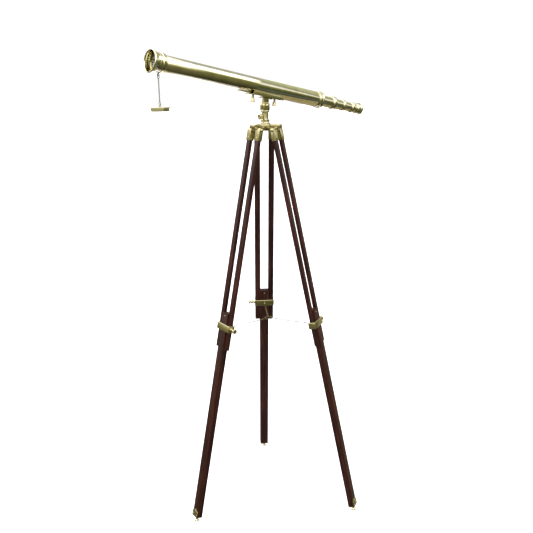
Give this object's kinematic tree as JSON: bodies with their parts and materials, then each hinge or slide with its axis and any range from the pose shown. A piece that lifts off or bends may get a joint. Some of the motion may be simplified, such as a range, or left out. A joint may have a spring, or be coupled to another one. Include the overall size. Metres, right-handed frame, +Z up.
{
  "type": "telescope on tripod",
  "caption": "Brass refracting telescope with sliding draws and a hanging dust cap, tilting in a cradle on a folding wooden tripod with telescoping legs.",
  "frame": {"origin": "centre of the bounding box on the floor plane, with the telescope at its rest bearing and tilt", "axes": "+Z up, +X from the objective towards the eyepiece, +Y to the right of someone looking through the eyepiece"},
  "size_m": [0.847, 0.5638, 1.5141],
  "materials": {
    "polished_brass": "polished and lacquered, greenish yellow",
    "stained_wood": "dark reddish-brown stain under satin lacquer",
    "lens_glass": "clear polished lens",
    "blackened_brass": "matt black inside the tube"
  },
  "bodies": {
    "head": {"hub_plate": "polished_brass", "hub_screws": "polished_brass", "base_socket": "polished_brass", "leg_hinge_bolts": "polished_brass"},
    "upper_leg_1": {"leg_slats_1": "stained_wood", "leg_ferrules_1": "polished_brass", "clamp_band_1": "polished_brass"},
    "lower_leg_1": {"lower_leg_1": "stained_wood", "foot_shoe_1": "polished_brass", "foot_stud_1": "polished_brass"},
    "clamp_screw_1": {"clamp_screw_1": "polished_brass"},
    "spreader_chain_1": {"spreader_chain_1": "polished_brass"},
    "upper_leg_2": {"leg_slats_2": "stained_wood", "leg_ferrules_2": "polished_brass", "clamp_band_2": "polished_brass"},
    "lower_leg_2": {"lower_leg_2": "stained_wood", "foot_shoe_2": "polished_brass", "foot_stud_2": "polished_brass"},
    "clamp_screw_2": {"clamp_screw_2": "polished_brass"},
    "spreader_chain_2": {"spreader_chain_2": "polished_brass"},
    "upper_leg_3": {"leg_slats_3": "stained_wood", "leg_ferrules_3": "polished_brass", "clamp_band_3": "polished_brass"},
    "lower_leg_3": {"lower_leg_3": "stained_wood", "foot_shoe_3": "polished_brass", "foot_stud_3": "polished_brass"},
    "clamp_screw_3": {"clamp_screw_3": "polished_brass"},
    "spreader_chain_3": {"spreader_chain_3": "polished_brass"},
    "spreader_ring": {"spreader_ring": "polished_brass"},
    "azimuth_knob": {"azimuth_knob": "polished_brass"},
    "swivel": {"swivel_post": "polished_brass", "tilt_yoke": "polished_brass", "tilt_bolt": "polished_brass", "tilt_nut": "polished_brass"},
    "cradle": {"cradle": "polished_brass", "cradle_tongue": "polished_brass"},
    "cradle_screw_front": {"cradle_screw_front": "polished_brass"},
    "cradle_screw_rear": {"cradle_screw_rear": "polished_brass"},
    "telescope": {"mount_rail": "polished_brass", "bell_hood": "polished_brass", "objective_collar": "polished_brass", "objective_lenses": "lens_glass", "lens_retaining_ring": "polished_brass", "main_tube": "polished_brass", "tube_baffles": "blackened_brass", "rear_collar": "polished_brass", "cap_chain_eye": "polished_brass"},
    "draw_1": {"draw_tube_1": "polished_brass", "draw_collar_1": "polished_brass"},
    "draw_2": {"draw_tube_2": "polished_brass", "draw_collar_2": "polished_brass", "erector_cell": "polished_brass", "erector_lenses": "lens_glass"},
    "draw_3": {"draw_tube_3": "polished_brass", "draw_collar_3": "polished_brass", "eyepiece_bell": "polished_brass", "eyepiece_lenses": "lens_glass"},
    "cap_chain": {"cap_chain": "polished_brass"},
    "dust_cap": {"dust_cap": "polished_brass"}
  },
  "joints": [
    {"name": "leg_1_fold", "type": "hinge", "parent": "head", "child": "upper_leg_1", "pos_m": [0.00756, 0.04381, 1.28], "axis": [-0.8192, 0.5736, 0], "range_deg": [0, 10.5]},
    {"name": "leg_2_fold", "type": "hinge", "parent": "head", "child": "upper_leg_2", "pos_m": [-0.05209, 0.01599, 1.28], "axis": [-0.0872, -0.9962, 0], "range_deg": [0, 10.5]},
    {"name": "leg_3_fold", "type": "hinge", "parent": "head", "child": "upper_leg_3", "pos_m": [0.00183, -0.02176, 1.28], "axis": [0.9063, 0.4226, 0], "range_deg": [0, 10.5]},
    {"name": "leg_1_extension", "type": "slide", "parent": "upper_leg_1", "child": "lower_leg_1", "axis": [-0.1192, -0.1703, 0.9782], "range_m": [0, 0.5]},
    {"name": "leg_1_clamp_screw", "type": "hinge", "parent": "upper_leg_1", "child": "clamp_screw_1", "pos_m": [0.08315, 0.15176, 0.65985], "axis": [-0.8192, 0.5736, 0], "continuous": true},
    {"name": "spreader_chain_1_swing", "type": "hinge", "parent": "upper_leg_1", "child": "spreader_chain_1", "pos_m": [0.07322, 0.13758, 0.65617], "axis": [-0.8192, 0.5736, 0], "range_deg": [-100.5, 0]},
    {"name": "leg_2_extension", "type": "slide", "parent": "upper_leg_2", "child": "lower_leg_2", "axis": [0.2071, -0.0181, 0.9782], "range_m": [0, 0.5]},
    {"name": "leg_2_clamp_screw", "type": "hinge", "parent": "upper_leg_2", "child": "clamp_screw_2", "pos_m": [-0.18337, 0.02748, 0.65985], "axis": [-0.0872, -0.9962, 0], "continuous": true},
    {"name": "spreader_chain_2_swing", "type": "hinge", "parent": "upper_leg_2", "child": "spreader_chain_2", "pos_m": [-0.16612, 0.02597, 0.65617], "axis": [-0.0872, -0.9962, 0], "range_deg": [-100.5, 0]},
    {"name": "leg_3_extension", "type": "slide", "parent": "upper_leg_3", "child": "lower_leg_3", "axis": [-0.0878, 0.1884, 0.9782], "range_m": [0, 0.5]},
    {"name": "leg_3_clamp_screw", "type": "hinge", "parent": "upper_leg_3", "child": "clamp_screw_3", "pos_m": [0.05752, -0.14119, 0.65985], "axis": [0.9063, 0.4226, 0], "continuous": true},
    {"name": "spreader_chain_3_swing", "type": "hinge", "parent": "upper_leg_3", "child": "spreader_chain_3", "pos_m": [0.0502, -0.1255, 0.65617], "axis": [0.9063, 0.4226, 0], "range_deg": [-100.5, 0]},
    {"name": "spreader_ring_drop", "type": "slide", "parent": "head", "child": "spreader_ring", "axis": [0, 0, -1], "range_m": [0, 0.11]},
    {"name": "azimuth_clamp_screw", "type": "hinge", "parent": "head", "child": "azimuth_knob", "pos_m": [-0.01423, 0.01268, 1.32], "axis": [1, 0, 0], "continuous": true},
    {"name": "azimuth_turn", "type": "hinge", "parent": "head", "child": "swivel", "pos_m": [-0.01423, 0.01268, 1.333], "axis": [0, 0, 1], "continuous": true},
    {"name": "tilt", "type": "hinge", "parent": "swivel", "child": "cradle", "pos_m": [-0.01423, 0.01268, 1.353], "axis": [0, 1, 0], "range_deg": [-25, 35]},
    {"name": "cradle_front_screw", "type": "hinge", "parent": "cradle", "child": "cradle_screw_front", "pos_m": [-0.061, 0.01268, 1.38616], "axis": [0.1822, 0, 0.9833], "continuous": true},
    {"name": "cradle_rear_screw", "type": "hinge", "parent": "cradle", "child": "cradle_screw_rear", "pos_m": [0.02553, 0.01268, 1.37012], "axis": [0.1822, 0, 0.9833], "continuous": true},
    {"name": "telescope_slide", "type": "slide", "parent": "cradle", "child": "telescope", "axis": [0.9833, 0, -0.1822], "range_m": [-0.02, 0.02]},
    {"name": "draw_1_slide", "type": "slide", "parent": "telescope", "child": "draw_1", "axis": [0.9833, 0, -0.1822], "range_m": [-0.048, 0.06]},
    {"name": "draw_2_slide", "type": "slide", "parent": "draw_1", "child": "draw_2", "axis": [0.9833, 0, -0.1822], "range_m": [-0.029, 0.06]},
    {"name": "draw_3_slide", "type": "slide", "parent": "draw_2", "child": "draw_3", "axis": [0.9833, 0, -0.1822], "range_m": [-0.027, 0.05]},
    {"name": "cap_chain_swing", "type": "hinge", "parent": "telescope", "child": "cap_chain", "pos_m": [-0.39239, 0.01268, 1.44575], "axis": [0, 1, 0], "range_deg": [-45, 45]},
    {"name": "dust_cap_swing", "type": "hinge", "parent": "cap_chain", "child": "dust_cap", "pos_m": [-0.39239, 0.01268, 1.36487], "axis": [0, 1, 0], "range_deg": [-30, 30]}
  ],
  "couplings": [
    {"joint": "spreader_chain_1_swing", "follows": "leg_1_fold", "ratio": -9.5714},
    {"joint": "leg_2_fold", "follows": "leg_1_fold", "ratio": 1},
    {"joint": "spreader_chain_2_swing", "follows": "leg_1_fold", "ratio": -9.5714},
    {"joint": "leg_3_fold", "follows": "leg_1_fold", "ratio": 1},
    {"joint": "spreader_chain_3_swing", "follows": "leg_1_fold", "ratio": -9.5714},
    {"joint": "spreader_ring_drop", "follows": "leg_1_fold", "m_per_rad": 0.60024}
  ]
}
